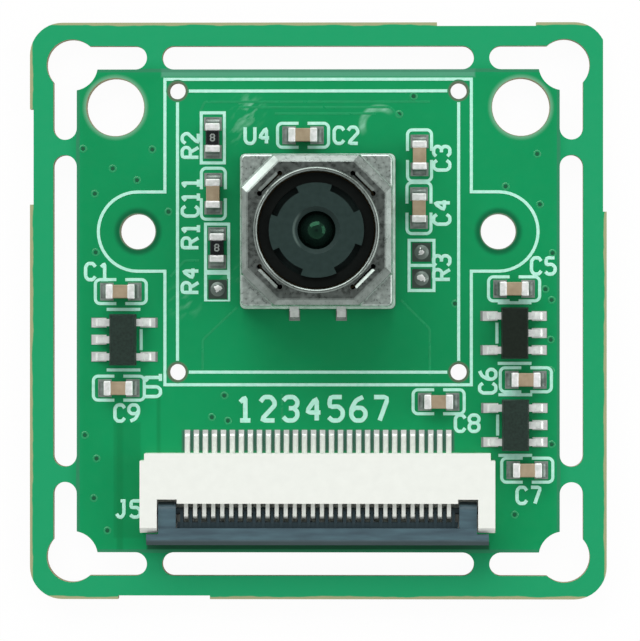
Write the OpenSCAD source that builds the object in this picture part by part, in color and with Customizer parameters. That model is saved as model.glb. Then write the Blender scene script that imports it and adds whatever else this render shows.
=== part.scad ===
// Autofocus camera board: a square circuit board with a break-off frame, a voice-coil
// focus camera, chip parts, three small regulators and a flat-cable connector whose lock
// flips up. Millimetres, +Z up. The origin is the centre of the board's underside, the
// lens looks along +Z and the cable leaves towards -Y.

/* [Board] */
// Side of the square board, break-off frame included
board_side = 32; // [31.8:0.1:33]
// Laminate thickness
board_t = 1.0; // [0.6:0.1:1.6]
// Outer corner radius
corner_r = 1.8; // [1:0.1:2.5]
// Width of the routed slots between the board and its frame
slot_w = 1.3; // [1:0.05:1.4]
// Width of the frame strip outside the slots
frame_w = 1.3; // [1.2:0.05:1.5]
// Length of the straight slot in the middle of each side
long_slot = 17.3; // [16:0.1:17.4]
// Width of the break-off tabs between two slots
tab_w = 0.85; // [0.5:0.05:1]
// Diameter of the hole in each frame corner
corner_hole_d = 2.85; // [2.6:0.05:3.1]
// Distance of the corner holes from the board's centre lines
corner_hole_at = 13.65; // [13.5:0.05:13.8]
// Diameter of the two large mounting holes
large_hole_d = 3.2; // [2.6:0.1:3.2]
// Place of the large holes, mirrored left and right
large_hole_at = [11.25, 11.3]; // [11.1:0.05:11.4]
// Diameter of the screw holes beside the camera
side_hole_d = 1.95; // [1.8:0.05:2.4]
// Distance of the side screw holes from the centre line
side_hole_x = 10.0; // [9.8:0.05:10.2]
// Diameter of the four locating holes for a lens holder
locating_d = 0.9; // [0.8:0.05:1.1]
// Side of the square on which the locating holes lie
locating_pitch = 15.6; // [15.4:0.05:15.8]

/* [Camera] */
// Distance of the lens axis from the board's centre, towards +Y
camera_y = 4.4; // [4.2:0.1:4.6]
// Side of the square sensor holder
holder_side = 8.6; // [8.5:0.05:8.8]
// Height of the sensor holder
holder_h = 1.0; // [1:0.05:1.2]
// Side of the square steel cover
cover_side = 8.3; // [8.3:0.05:8.5]
// Sheet thickness of the steel cover
cover_t = 0.15; // [0.12:0.01:0.16]
// Height of the steel cover's top above the board
cover_top = 4.8; // [4.8:0.05:5]
// Diameter of the round opening in the cover
opening_d = 6.45; // [6.4:0.05:6.45]
// Diameter of the lens barrel
barrel_d = 5.2; // [5:0.02:5.2]
// Diameter of the lens's front aperture
aperture_d = 2.1; // [1.6:0.1:2.4]

/* [Connector] */
// Number of contacts
ways = 30; // [10:2:30]
// Distance between contacts
pitch = 0.5; // [0.5:0.01:0.5]
// Thickness of a stamped contact
contact_t = 0.22; // [0.14:0.01:0.22]
// Width of the housing across the contacts
housing_w = 19.6; // [19.6:0.02:19.9]
// Height of the housing above the board
housing_h = 2.0; // [2:0.05:2.2]
// Radius of the lock's rod and pins
rod_r = 0.19; // [0.15:0.01:0.19]

/* [Chip parts] */
// Length, width and height of a chip capacitor
cap_size = [1.6, 0.8, 0.8]; // [0.8:0.05:1.6]
// Length, width and height of a chip resistor
res_size = [1.6, 0.8, 0.45]; // [0.4:0.05:1.6]
// Length (along its lead rows), width and top height of a regulator package
package_size = [2.85, 1.5, 1.1]; // [1:0.05:3]

/* [Print and solder] */
// Width of the printed lines
line_w = 0.17; // [0.1:0.01:0.2]
// Thickness of the printed ink
ink_t = 0.02; // [0.01:0.005:0.03]
// Thickness of the tinned pads
pad_t = 0.03; // [0.02:0.005:0.05]

/* [Hidden] */
$fn = 48;

slot_c = board_side / 2 - frame_w - slot_w / 2;
corner_slot_end = long_slot / 2 + tab_w;

// Shallow set-backs of the outer edge where the board was snapped from its panel:
// the way the edge faces, then where the set-back starts and ends along it.
snap_depth = 0.2;
SNAPS = [[0, 5.5, 16], [90, -12.1, -6.6], [180, -11.2, -5.9], [270, -11.1, -6.0]];

// Places of the chip parts: x, y and turn.
CAPS = [[-5.81, 6.5, 90], [-0.83, 9.74, 0], [5.63, 8.62, 90], [5.6, 5.7, 90],
    [10.87, 1.22, 0], [11.52, -3.82, 0], [11.6, -8.83, 0], [6.69, -5.04, 0],
    [-11.06, -4.29, 0], [-10.95, 1.07, 0]];
RESISTORS = [[-5.6, 3.5, 90], [-5.84, 9.6, 90]];
// Regulators: x, y and turn; the row of three leads faces outwards.
REGULATORS = [[-10.8, -1.6, 180], [10.9, -1.23, 0], [10.94, -6.33, 0]];
// Soldered places that carry no part: x, y.
BARE_PADS = [[-5.57, 1.2], [5.74, 3.25], [5.74, 1.8]];
bare_pad = [1.03, 1.05];

chip_pad = [0.75, 1.0];
chip_end = 0.38;
lead_at = 0.95;
lead_w = 0.4;
lead_t = 0.15;
lead_tip = 1.42;
fillet = 0.3;

// Connector, measured from the board's centre along Y and from its top face along Z.
rear_y = -7.88;
lip_y = -10.63;
nose_y = -12.25;
jaw_z = 0.55;
slot_top_z = 1.0;
tail_y = -6.95;
post_y = -8.5;
beam_z = 1.42;
beam_t = 0.28;
rod_y = -11.05;
hook_y = -11.46;
rod_z = 1.25;
rod_gap = 0.04;
arm_in = 8.86;
recess_in = 7.75;
recess_y = -10.4;
anchor_x = 9.48;
lock_front_y = -12.93;
lock_bar_y = -12.0;
lock_step_y = -11.66;
web_w = pitch - contact_t - 0.1;

// Camera, measured from the lens axis and from the board's top face.
base_lip_z = holder_h + 0.2;
base_top_z = holder_h + 0.55;
stop_z = holder_h + 0.35;
ledge_z = cover_top - 0.5;
leaf_t = 0.05;
arm_r = 3.63;
arm_w = 0.08;
leaf_z = ledge_z - cover_t - leaf_t;
inner = cover_side / 2 - cover_t;
// 45 degree faces are given by their distance from the lens axis.
slit_at = 3.6;
slit_w = 0.1;
tab_out = 3.53;
coil_in = [3.45, 3.75];
coil_out = [3.85, 4.1];
coil_z = [1.95, 3.75];
magnet_at = 4.25;
magnet_z = [1.95, 3.75];
carrier_r = 3.25;
carrier_neck_r = 3.05;
skirt_r = 2.9;
barrel_r = barrel_d / 2;
barrel_z = [1.4, 4.7];
// Lens elements from front to back: underside, rim radius, rim thickness, radius of the
// curved face, rise of its front and of its back (a negative rise is a hollow).
LENSES = [[3.85, 1.45, 0.3, 1.0, 0.28, -0.05], [3.45, 1.6, 0.36, 1.2, -0.06, -0.12],
    [3.0, 1.8, 0.41, 1.4, -0.06, 0.1], [2.45, 2.05, 0.51, 1.65, -0.16, -0.1],
    [1.75, 2.3, 0.66, 1.9, -0.08, -0.2]];
film_t = 0.04;

// ---------------------------------------------------------------- shared shapes

// Rectangle with rounded corners, centred.
module rounded_rect(w, h, r) {
    square([w - 2 * r, h], center = true);
    square([w, h - 2 * r], center = true);
    for (x = [-1, 1], y = [-1, 1])
        translate([x * (w / 2 - r), y * (h / 2 - r)]) circle(r);
}

// Slot with round ends, centred and lying along X.
module round_slot(l, w) {
    square([l - w, w], center = true);
    for (s = [-1, 1]) translate([s * (l - w) / 2, 0]) circle(d = w);
}

// Square with its corners cut at 45 degrees: half width, and the cut's distance from the middle.
module octagon(half, cut) {
    intersection() {
        square(2 * half, center = true);
        rotate(45) square(2 * cut, center = true);
    }
}

// Corner of a square between two 45 degree faces, given by their distance from the middle.
module corner_block(near, far, half) {
    intersection() {
        square(half);
        rotate(45) translate([near, -half]) square([far - near, 2 * half]);
    }
}

// Part of a flat ring between two angles.
module ring_part(r_in, r_out, a0, a1) {
    reach = 2 * r_out;
    mid = (a0 + a1) / 2;
    intersection() {
        difference() {
            circle(r_out);
            circle(r_in);
        }
        polygon([[0, 0], reach * [cos(a0), sin(a0)], reach * [cos(mid), sin(mid)],
            reach * [cos(a1), sin(a1)]]);
    }
}

// Block with every edge rounded, centred in X and Y and standing on Z = 0.
module soft_block(size, r) {
    intersection() {
        linear_extrude(size[2]) rounded_rect(size[0], size[1], r);
        translate([0, size[1] / 2, size[2] / 2]) rotate([90, 0, 0])
            linear_extrude(size[1]) rounded_rect(size[0], size[2], r);
        translate([-size[0] / 2, 0, size[2] / 2]) rotate([90, 0, 90])
            linear_extrude(size[0]) rounded_rect(size[1], size[2], r);
    }
}

// A profile drawn in (Y, Z), given its width along X.
module across(w) {
    rotate([90, 0, 90]) linear_extrude(w, center = true) children();
}

// Straight printed line from p to q.
module stroke(p, q) {
    d = q - p;
    translate((p + q) / 2) rotate(atan2(d[1], d[0])) square([norm(d) + line_w, line_w], center = true);
}

module on_board() {
    translate([0, 0, board_t]) children();
}

module at_camera() {
    translate([0, camera_y, board_t]) children();
}

module place(p) {
    translate([p[0], p[1]]) rotate(p[2]) children();
}

function contact_x(i) = (i - (ways - 1) / 2) * pitch;

// ---------------------------------------------------------------- board

module board_outline() {
    difference() {
        rounded_rect(board_side, board_side, corner_r);
        for (s = SNAPS) rotate(s[0])
            translate([board_side / 2 - snap_depth, s[1]]) square([1, s[2] - s[1]]);
    }
}

module frame_slots() {
    leg = slot_c + slot_w / 2 - corner_slot_end;
    for (a = [0:90:270]) rotate(a) {
        translate([slot_c, 0]) rotate(90) round_slot(long_slot, slot_w);
        translate([corner_slot_end + leg / 2, slot_c]) round_slot(leg, slot_w);
        translate([slot_c, corner_slot_end + leg / 2]) rotate(90) round_slot(leg, slot_w);
        translate([corner_hole_at, corner_hole_at]) circle(d = corner_hole_d);
    }
}

module locating_holes(d) {
    for (x = [-1, 1], y = [-1, 1])
        translate([x * locating_pitch / 2, camera_y + y * locating_pitch / 2]) circle(d = d);
}

module circuit_board() {
    color([0.11, 0.58, 0.37]) linear_extrude(board_t) difference() {
        board_outline();
        frame_slots();
        for (x = [-1, 1]) {
            translate([x * large_hole_at[0], large_hole_at[1]]) circle(d = large_hole_d);
            translate([x * side_hole_x, camera_y]) circle(d = side_hole_d);
        }
        locating_holes(locating_d);
    }
}

// ---------------------------------------------------------------- pads and print

module pad(size, grow) {
    square([size[0] + 2 * grow, size[1] + 2 * grow], center = true);
}

// Every pad on the board, larger by grow on each side.
module all_pads(grow) {
    for (p = concat(CAPS, RESISTORS)) place(p)
        for (s = [-1, 1]) translate([s * cap_size[0] / 2 - s * 0.025, 0]) pad(chip_pad, grow);
    for (p = REGULATORS) place(p) {
        for (y = [-1, 0, 1]) translate([1.37, y * lead_at]) pad([0.85, 0.55], grow);
        for (y = [-1, 1]) translate([-1.42, y * lead_at]) pad([0.95, 0.55], grow);
    }
    for (p = BARE_PADS) translate(p) pad(bare_pad, grow);
    for (i = [0:ways - 1]) translate([contact_x(i), -7.25]) pad([0.3, 1.3], grow);
    for (s = [-1, 1]) {
        translate([s * (anchor_x + 0.07), -11.5]) pad([0.5, 1.2], grow);
        translate([s * 1.3, camera_y - 4.65]) pad([0.6, 0.6], grow);
    }
}

module tinned_pads() {
    color([0.78, 0.80, 0.79]) on_board() linear_extrude(pad_t) all_pads(0);
}

// Two brackets round a chip capacitor.
module capacitor_mark(l = 3.0, w = 1.5, r = 0.35, gap = 0.5) {
    difference() {
        rounded_rect(l, w, r);
        rounded_rect(l - 2 * line_w, w - 2 * line_w, r - line_w);
        square([gap, 2 * w], center = true);
    }
}

module box_mark(l, w) {
    difference() {
        square([l, w], center = true);
        square([l - 2 * line_w, w - 2 * line_w], center = true);
    }
}

module regulator_mark() {
    for (s = [-1, 1]) stroke([-0.85, s * 1.68], [0.85, s * 1.68]);
    stroke([-0.98, -0.5], [-0.98, 0.5]);
}

// The camera's square, with an ear round the screw hole on each side.
module camera_mark(half = 8.5, top = 12.85, bottom = -4.1, ear_r = 2.2) {
    for (s = [-1, 1]) {
        stroke([s * half, top], [s * half, camera_y + ear_r]);
        stroke([s * half, camera_y - ear_r], [s * half, bottom]);
        for (e = [-1, 1])
            stroke([s * half, camera_y + e * ear_r], [s * side_hole_x, camera_y + e * ear_r]);
        translate([s * side_hole_x, camera_y])
            ring_part(ear_r - line_w / 2, ear_r + line_w / 2, 90 - s * 180, 90);
    }
    stroke([-half, top], [half, top]);
    stroke([-half, bottom], [half, bottom]);
    translate([0, camera_y]) box_mark(locating_pitch + line_w, locating_pitch + line_w);
}

module legend_print() {
    color([0.72, 0.93, 0.86]) on_board() linear_extrude(ink_t) difference() {
        union() {
            camera_mark();
            for (p = CAPS) place(p) capacitor_mark();
            for (p = REGULATORS) place(p) regulator_mark();
            place(RESISTORS[0]) box_mark(2.8, 1.45);
            place(RESISTORS[1]) box_mark(2.95, 1.45);
            translate([-5.6, 1.35]) box_mark(1.45, 1.65);
            translate([5.74, 2.52]) box_mark(1.55, 2.95);
            stroke([5.1, 2.52], [6.4, 2.52]);
        }
        all_pads(0.06);
        locating_holes(locating_d + 0.36);
    }
}

// ---------------------------------------------------------------- solder

// Concave fillet lying against a wall at X = 0 and on the pad at Z = 0.
module solder_fillet(f, w) {
    rotate([90, 0, 0]) linear_extrude(w, center = true) difference() {
        square(f);
        translate([f, f]) circle(f);
    }
}

module solder_joints() {
    color([0.83, 0.85, 0.84]) on_board() translate([0, 0, pad_t]) {
        for (p = concat(CAPS, RESISTORS)) place(p) for (a = [0, 180]) rotate(a)
            translate([cap_size[0] / 2, 0, 0]) solder_fillet(fillet, 0.74);
        for (p = REGULATORS) place(p) {
            for (y = [-1, 0, 1]) translate([lead_tip, y * lead_at, 0])
                solder_fillet(lead_t, lead_w);
            for (y = [-1, 1]) translate([-lead_tip, y * lead_at, 0]) rotate(180)
                solder_fillet(lead_t, lead_w);
        }
        for (p = BARE_PADS) translate([p[0], p[1], 0]) solder_dome(0.4, 0.1);
        for (i = [0:ways - 1]) translate([contact_x(i), tail_y, 0]) rotate(90)
            solder_fillet(0.15, contact_t);
        for (s = [-1, 1]) translate([s * 1.3, camera_y - 4.75, 0]) rotate(-90)
            solder_fillet(0.12, 0.5);
    }
}

// Low drop of solder on a bare pad: radius on the pad, and height.
module solder_dome(r, h) {
    ball = (r * r + h * h) / (2 * h);
    intersection() {
        translate([0, 0, h - ball]) sphere(ball, $fn = 96);
        cylinder(r = r, h = h);
    }
}

// ---------------------------------------------------------------- chip parts

module chip_ends(size, proud) {
    for (s = [-1, 1]) translate([s * (size[0] - chip_end) / 2, 0, 0])
        soft_block([chip_end, size[1], size[2] + proud], 0.07);
}

module capacitor(n) {
    color([0.68, 0.60, 0.50]) on_board() translate([0, 0, pad_t]) place(CAPS[n - 1]) {
        chip_ends(cap_size, 0);
        translate([0, 0, 0.03])
            soft_block([cap_size[0] - 0.1, cap_size[1] - 0.06, cap_size[2] - 0.06], 0.05);
    }
}

module resistor(n) {
    color([0.10, 0.10, 0.11]) on_board() translate([0, 0, pad_t]) place(RESISTORS[n - 1]) {
        chip_ends(res_size, 0);
        translate([0, 0, 0.03])
            soft_block([res_size[0] - 0.1, res_size[1] - 0.04, res_size[2] - 0.05], 0.03);
        translate([0, 0, 0.1])
            soft_block([res_size[0] - 2 * chip_end - 0.04, res_size[1] - 0.08, res_size[2] - 0.08], 0.04);
    }
}

// Moulded package: widest in the band where the leads come out.
module regulator_package(n, belt = [0.47, 0.67], draft = 0.08, foot = 0.1) {
    w = package_size[1];
    l = package_size[0];
    color([0.13, 0.15, 0.14]) on_board() place(REGULATORS[n - 1]) hull() {
        translate([0, 0, belt[0]]) linear_extrude(belt[1] - belt[0]) square([w, l], center = true);
        translate([0, 0, foot]) linear_extrude(package_size[2] - foot)
            square([w - 2 * draft, l - 2 * draft], center = true);
    }
}

// Gull-wing lead leaving a wall at X = w / 2, seen from the side as (X, Z).
module lead_profile() {
    side = package_size[1] / 2;
    bend = side + 0.22;
    translate([side, 0.5]) square([bend - side + lead_t, lead_t]);
    translate([bend, pad_t]) square([lead_t, 0.5]);
    translate([bend, pad_t]) square([lead_tip - bend, lead_t]);
}

module regulator_leads(n) {
    color([0.75, 0.77, 0.76]) on_board() place(REGULATORS[n - 1]) {
        for (y = [-1, 0, 1]) translate([0, y * lead_at, 0]) rotate([90, 0, 0])
            linear_extrude(lead_w, center = true) lead_profile();
        for (y = [-1, 1]) translate([0, y * lead_at, 0]) rotate([90, 0, 180])
            linear_extrude(lead_w, center = true) lead_profile();
    }
}

// ---------------------------------------------------------------- connector

// Stamped contact as (Y, Z): solder tail, post, lower spring beam with its contact point,
// and upper beam whose hooked end holds the lock's rod.
module contact_profile() {
    difference() {
        union() {
            translate([post_y, pad_t]) square([tail_y - post_y, 0.15]);
            translate([post_y, pad_t]) square([0.35, beam_z + beam_t - pad_t]);
            translate([-11.9, 0.3]) square([post_y + 11.9, 0.2]);
            translate([-10.9, 0.47]) circle(0.16);
            polygon([[post_y, beam_z], [post_y, beam_z + beam_t],
                [hook_y + 0.12, beam_z + beam_t], [hook_y, beam_z + 0.05],
                [hook_y, 1.2], [hook_y + 0.2, 1.2], [hook_y + 0.2, beam_z]]);
        }
        translate([rod_y, rod_z]) circle(rod_r + rod_gap);
    }
}

// Room for one contact in the housing, as (Y, Z).
module contact_cavity() {
    translate([-12.0, 0.3]) square([post_y + 12.0, jaw_z]);
    translate([post_y, -1]) square([0.35, beam_z + beam_t + 1]);
    translate([post_y, -1]) square([2, 1.2]);
    translate([lip_y - 1, beam_z]) square([post_y - lip_y + 1, beam_t]);
}

module connector_contacts() {
    color([0.80, 0.80, 0.77]) on_board() for (i = [0:ways - 1])
        translate([contact_x(i), 0, 0]) across(contact_t) contact_profile();
}

module anchor_profile(grow) {
    translate([-12.0 - grow, 0]) square([1.1 + 2 * grow, 1.2]);
}

// Steel tabs in the housing's arms, soldered down at their foot.
module connector_anchors() {
    color([0.75, 0.77, 0.76]) on_board() translate([0, 0, pad_t]) for (s = [-1, 1]) {
        translate([s * anchor_x, 0, 0]) across(0.15) anchor_profile(0);
        translate([s * (anchor_x + 0.07), -11.45, 0.06]) cube([0.45, 0.9, 0.12], center = true);
    }
}

module housing_arm() {
    w = housing_w / 2 - arm_in;
    translate([arm_in + w / 2, 0, 0]) across(w) polygon([[lip_y, 0], [nose_y, 0],
        [nose_y, 1.53], [nose_y + 0.28, housing_h], [lip_y, housing_h]]);
}

module connector_housing() {
    depth = rear_y - lip_y;
    color([0.94, 0.95, 0.93]) on_board() difference() {
        union() {
            translate([-housing_w / 2, lip_y, 0]) cube([housing_w, depth - 0.4, housing_h]);
            translate([-housing_w / 2 + 0.25, lip_y, 0]) cube([housing_w - 0.5, depth, housing_h]);
            translate([-arm_in, nose_y, 0]) cube([2 * arm_in, lip_y - nose_y, jaw_z]);
            housing_arm();
            mirror([1, 0, 0]) housing_arm();
        }
        // slot for the cable, and the two recesses for the lock's ears
        translate([-recess_in, -12, jaw_z]) cube([2 * recess_in, 3, slot_top_z - jaw_z]);
        for (s = [-1, 1]) translate([s * (recess_in + arm_in) / 2, 0, 0])
            across(arm_in - recess_in) translate([lip_y - 1, jaw_z]) square([recess_y - lip_y + 1, 2]);
        for (i = [0:ways - 1]) translate([contact_x(i), 0, 0]) across(contact_t + 0.04) contact_cavity();
        // sockets for the lock's pins, slots for the anchors and pad room under the arms
        for (s = [-1, 1]) {
            translate([s * arm_in, rod_y, rod_z]) rotate([0, s * 90, 0])
                cylinder(r = rod_r + rod_gap, h = 0.38);
            translate([s * anchor_x, 0, -0.01]) across(0.19) anchor_profile(0.02);
            translate([s * (anchor_x + 0.07), -11.5, 0.08]) cube([0.6, 1.3, 0.18], center = true);
        }
    }
}

// Flip lock, closed: rod with end pins, a comb of webs that pass between the contacts'
// hooks, a low step, two ears and the finger bar, whose wings reach in front of the arms.
module connector_lock() {
    bar_top = 1.82;
    under = 1.08;
    wing_y = nose_y - 0.08;
    pin_end = arm_in + 0.35;
    color([0.24, 0.31, 0.35]) on_board() {
        translate([-pin_end, rod_y, rod_z]) rotate([0, 90, 0]) cylinder(r = rod_r, h = 2 * pin_end);
        for (i = [0:ways]) translate([contact_x(i) - pitch / 2, 0, 0]) across(web_w)
            translate([lock_bar_y, under]) square([rod_y - lock_bar_y, 0.47]);
        across(2 * recess_in) translate([lock_bar_y, under]) square([lock_step_y - lock_bar_y, 0.42]);
        across(2 * (arm_in - 0.07)) lock_bar_profile(lock_bar_y, bar_top, under);
        across(18.9) lock_bar_profile(wing_y, bar_top, under);
        for (s = [-1, 1]) translate([s * (recess_in + arm_in) / 2, 0, 0])
            across(arm_in - recess_in - 0.14) lock_ear_profile();
    }
}

// Finger bar as (Y, Z), from y_back to its bevelled front edge.
module lock_bar_profile(y_back, top, under) {
    polygon([[y_back, under], [y_back, top], [lock_front_y + 0.3, top],
        [lock_front_y, top - 0.22], [lock_front_y, under + 0.1], [lock_front_y + 0.1, under]]);
}

module lock_ear_profile() {
    translate([rod_y, rod_z]) circle(0.5);
    translate([lock_bar_y - 0.2, rod_z - 0.4]) square([rod_y - lock_bar_y + 0.2, 0.9]);
}

// ---------------------------------------------------------------- sensor

module sensor_die() {
    color([0.25, 0.28, 0.33]) at_camera() translate([0, 0, 0.125])
        cube([5.8, 4.5, 0.25], center = true);
}

// Gold wires from the die's edge down to the board, fourteen on each side.
module sensor_bond_wires(loop_r = 0.22, wire_r = 0.025, foot_x = 2.78) {
    color([0.86, 0.68, 0.30]) at_camera() for (s = [-1, 1], i = [0:13])
        translate([s * (foot_x + loop_r), -1.95 + 0.3 * i, 0.25]) {
            rotate([90, 0, 0]) rotate_extrude(angle = 180, $fn = 24)
                translate([loop_r, 0]) circle(wire_r);
            translate([s * loop_r, 0, -0.25]) cylinder(r = wire_r, h = 0.25, $fn = 24);
        }
}

// Moulded frame over the sensor, with a shelf for the filter.
module sensor_holder() {
    color([0.12, 0.13, 0.13]) at_camera() difference() {
        linear_extrude(holder_h) rounded_rect(holder_side, holder_side, 0.3);
        translate([0, 0, 0.3]) cube([7.2, 7.2, 0.62], center = true);
        translate([0, 0, 0.6]) cube([5.4, 4.4, 2], center = true);
        translate([0, 0, holder_h]) cube([6.2, 5.2, 0.4], center = true);
    }
}

module infrared_filter() {
    color([0.55, 0.75, 0.80]) at_camera() translate([0, 0, holder_h - 0.1])
        cube([6.1, 5.1, 0.2], center = true);
}

// ---------------------------------------------------------------- focus motor

module focus_base() {
    color([0.10, 0.10, 0.11]) at_camera() difference() {
        union() {
            translate([0, 0, holder_h]) linear_extrude(base_lip_z - holder_h)
                rounded_rect(cover_side, cover_side, 0.3);
            translate([0, 0, base_lip_z]) linear_extrude(base_top_z - base_lip_z)
                rounded_rect(2 * inner, 2 * inner, 0.25);
        }
        translate([0, 0, holder_h - 1]) cylinder(r = 2.5, h = 3);
        translate([0, 0, stop_z]) cylinder(r = 3.85, h = 1);
    }
}

// Raised middle of the cover: octagons from the ledge up to the top, the last two close
// together so that the bend is round. Larger all round by grow.
module raised_middle(grow) {
    half = cover_side / 2 + grow;
    hull() for (l = [[0, 4.64, -0.55], [0.07, 4.53, -0.22], [0.33, 4.17, -0.03], [0.42, 4.08, 0]])
        translate([0, 0, cover_top + l[2] + grow - 0.01]) linear_extrude(0.01)
            octagon(half - l[0], l[1] + grow);
}

// Bend between the cover's walls and its four corner ledges.
module ledge_bend(corner = 0.3) {
    hull() for (l = [[0, 0.1], [0.03, 0.03], [0.1, 0]])
        translate([0, 0, ledge_z - l[1] - 0.01]) linear_extrude(0.01)
            rounded_rect(cover_side - 2 * l[0], cover_side - 2 * l[0], corner - l[0]);
}

module focus_cover() {
    under = cover_top - cover_t;
    lip_r = 0.12;
    color([0.62, 0.65, 0.64]) at_camera() {
        difference() {
            union() {
                translate([0, 0, base_lip_z]) linear_extrude(ledge_z - 0.1 - base_lip_z)
                    rounded_rect(cover_side, cover_side, 0.3);
                ledge_bend();
                raised_middle(0);
                translate([0, 0, cover_top - 0.02]) rotate_extrude($fn = 96)
                    translate([opening_d / 2 + lip_r, 0]) circle(lip_r, $fn = 24);
            }
            translate([0, 0, base_lip_z - 1]) linear_extrude(ledge_z - cover_t - base_lip_z + 1)
                rounded_rect(2 * inner, 2 * inner, 0.25);
            raised_middle(-cover_t);
            translate([0, 0, under - 1]) cylinder(d = opening_d, h = 3, $fn = 96);
            for (a = [45:90:315]) rotate(a) {
                translate([slit_at, 0, under - 0.1]) linear_extrude(1) {
                    square([slit_w, 1.56], center = true);
                    for (s = [-1, 1]) translate([0, s * 0.78]) circle(0.14, $fn = 24);
                }
                // shallow slope on the slit's outer edge
                translate([slit_at + slit_w / 2 + 0.16, 0, cover_top]) rotate([0, -26, 0])
                    translate([-0.2, -0.7, 0]) cube([0.2, 1.4, 0.1]);
            }
        }
        // inner yoke tabs, folded down beside the slits
        for (a = [45:90:315]) rotate(a) translate([tab_out - cover_t, -0.7, 2.2])
            cube([cover_t, 1.4, under - 2.2]);
    }
}

// Two bent tabs that carry the coil's current down to the board.
module focus_terminals() {
    y0 = -cover_side / 2;
    y1 = -holder_side / 2;
    color([0.80, 0.72, 0.45]) at_camera() for (s = [-1, 1]) translate([s * 1.3, 0, 0]) across(0.5) {
        translate([y1 - 0.12, holder_h + 0.03]) square([y0 - y1 + 0.12, 0.12]);
        translate([y1 - 0.12, pad_t]) square([0.12, holder_h + 0.12]);
        translate([-4.75, pad_t]) square([y1 + 4.75, 0.12]);
    }
}

// Corner magnet: its flat inner face looks at the coil.
module magnet(n) {
    color([0.45, 0.46, 0.48]) at_camera() rotate(90 * (n - 1)) translate([0, 0, magnet_z[0]])
        linear_extrude(magnet_z[1] - magnet_z[0]) corner_block(magnet_at, 5.4, inner);
}

module spring_spacer() {
    color([0.14, 0.14, 0.15]) at_camera() translate([0, 0, magnet_z[1]])
        linear_extrude(leaf_z - magnet_z[1]) difference() {
            rounded_rect(2 * inner, 2 * inner, 0.25);
            octagon(inner - 0.1, magnet_at);
        }
}

// Flat spring: inner ring on the carrier, four curved arms and four fixed corner pads.
module leaf_spring(z, ring_in, ring_out) {
    color([0.78, 0.66, 0.38]) at_camera() translate([0, 0, z]) linear_extrude(leaf_t) {
        difference() {
            circle(ring_out);
            circle(ring_in);
        }
        for (a = [0:90:270]) rotate(a) {
            ring_part(ring_out - 0.05, arm_r + arm_w, -24, -20);
            ring_part(arm_r, arm_r + arm_w, -24, 46);
            corner_block(magnet_at, 5.3, inner - 0.1);
            rotate(45) translate([(arm_r + magnet_at) / 2, 0])
                square([magnet_at - arm_r + 0.1, 0.3], center = true);
        }
    }
}

module lower_leaf_spring() {
    leaf_spring(base_top_z, skirt_r + 0.05, 3.2);
}

module upper_leaf_spring() {
    leaf_spring(leaf_z, carrier_neck_r, carrier_r);
}

// Sleeve that holds the barrel; its four flats carry the coil.
module lens_carrier() {
    color([0.08, 0.08, 0.09]) at_camera() difference() {
        union() {
            translate([0, 0, stop_z]) cylinder(r = skirt_r, h = 1);
            translate([0, 0, base_top_z + leaf_t]) cylinder(r = carrier_r, h = leaf_z - base_top_z - leaf_t);
            translate([0, 0, leaf_z - 0.1]) cylinder(r = carrier_neck_r, h = 0.5);
            translate([0, 0, leaf_z + leaf_t]) cylinder(r = carrier_neck_r + 0.1, h = 0.35);
            for (a = [0:90:270]) rotate(a) {
                translate([2.8, -1.4, 1.75]) cube([coil_in[0] - 2.8, 2.8, 1.9]);
                translate([2.8, -1.4, 1.75]) cube([coil_out[0] - 2.85, 2.8, coil_z[0] - 1.75]);
            }
        }
        translate([0, 0, -1]) cylinder(r = barrel_r, h = 8);
    }
}

module drive_coil() {
    color([0.72, 0.42, 0.22]) at_camera() translate([0, 0, coil_z[0]])
        linear_extrude(coil_z[1] - coil_z[0]) difference() {
            octagon(coil_out[0], coil_out[1]);
            octagon(coil_in[0], coil_in[1]);
        }
}

// ---------------------------------------------------------------- lens

// Barrel: stepped from behind for the elements, with four grip notches in its front rim.
module lens_barrel() {
    front = barrel_z[1];
    color([0.17, 0.22, 0.21]) at_camera() difference() {
        translate([0, 0, barrel_z[0]]) cylinder(r = barrel_r, h = front - barrel_z[0], $fn = 96);
        for (l = LENSES) cylinder(r = l[1], h = l[0] + l[2]);
        cylinder(d = aperture_d, h = 8);
        translate([0, 0, front - 0.25]) cylinder(d1 = aperture_d, d2 = aperture_d + 0.5, h = 0.2501);
        for (a = [48:90:318]) translate([0, 0, front - 0.8]) linear_extrude(1)
            ring_part(2.25, 4, a - 23, a + 23);
    }
}

// Half outline of a curved face that rises by h over the radius r, with its rim at Y = 0.
module face_bulge(r, h) {
    ball = (r * r + h * h) / (2 * h);
    intersection() {
        translate([0, h - ball]) circle(ball, $fn = 48 * ceil(ball / r));
        square([r, h]);
    }
}

// Half outline of the tool that hollows a face by h over the radius r, cutting down from Y = 0.
module face_hollow(r, h) {
    ball = (r * r + h * h) / (2 * h);
    intersection() {
        translate([0, ball - h]) circle(ball, $fn = 48 * ceil(ball / r));
        translate([0, -h]) square([2 * r, 2 * h]);
    }
}

// Moulded element, turned from its half outline: a flat rim with a raised or hollow
// face on each side.
module lens(n) {
    l = LENSES[n - 1];
    color([0.55, 0.68, 0.66]) at_camera() translate([0, 0, l[0]]) rotate_extrude($fn = 96)
        difference() {
            union() {
                square([l[1], l[2]]);
                if (l[4] > 0) translate([0, l[2]]) face_bulge(l[3], l[4]);
                if (l[5] > 0) mirror([0, 1]) face_bulge(l[3], l[5]);
            }
            if (l[4] < 0) translate([0, l[2]]) face_hollow(l[3], -l[4]);
            if (l[5] < 0) mirror([0, 1]) face_hollow(l[3], -l[5]);
        }
}

// Black film between two elements.
module film(above, hole_r) {
    l = LENSES[above - 1];
    translate([0, 0, l[0] - film_t]) difference() {
        cylinder(r = l[1], h = film_t);
        translate([0, 0, -1]) cylinder(r = hole_r, h = 2);
    }
}

module aperture_sheet() {
    color([0.05, 0.05, 0.05]) at_camera() film(1, 0.85);
}

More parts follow.
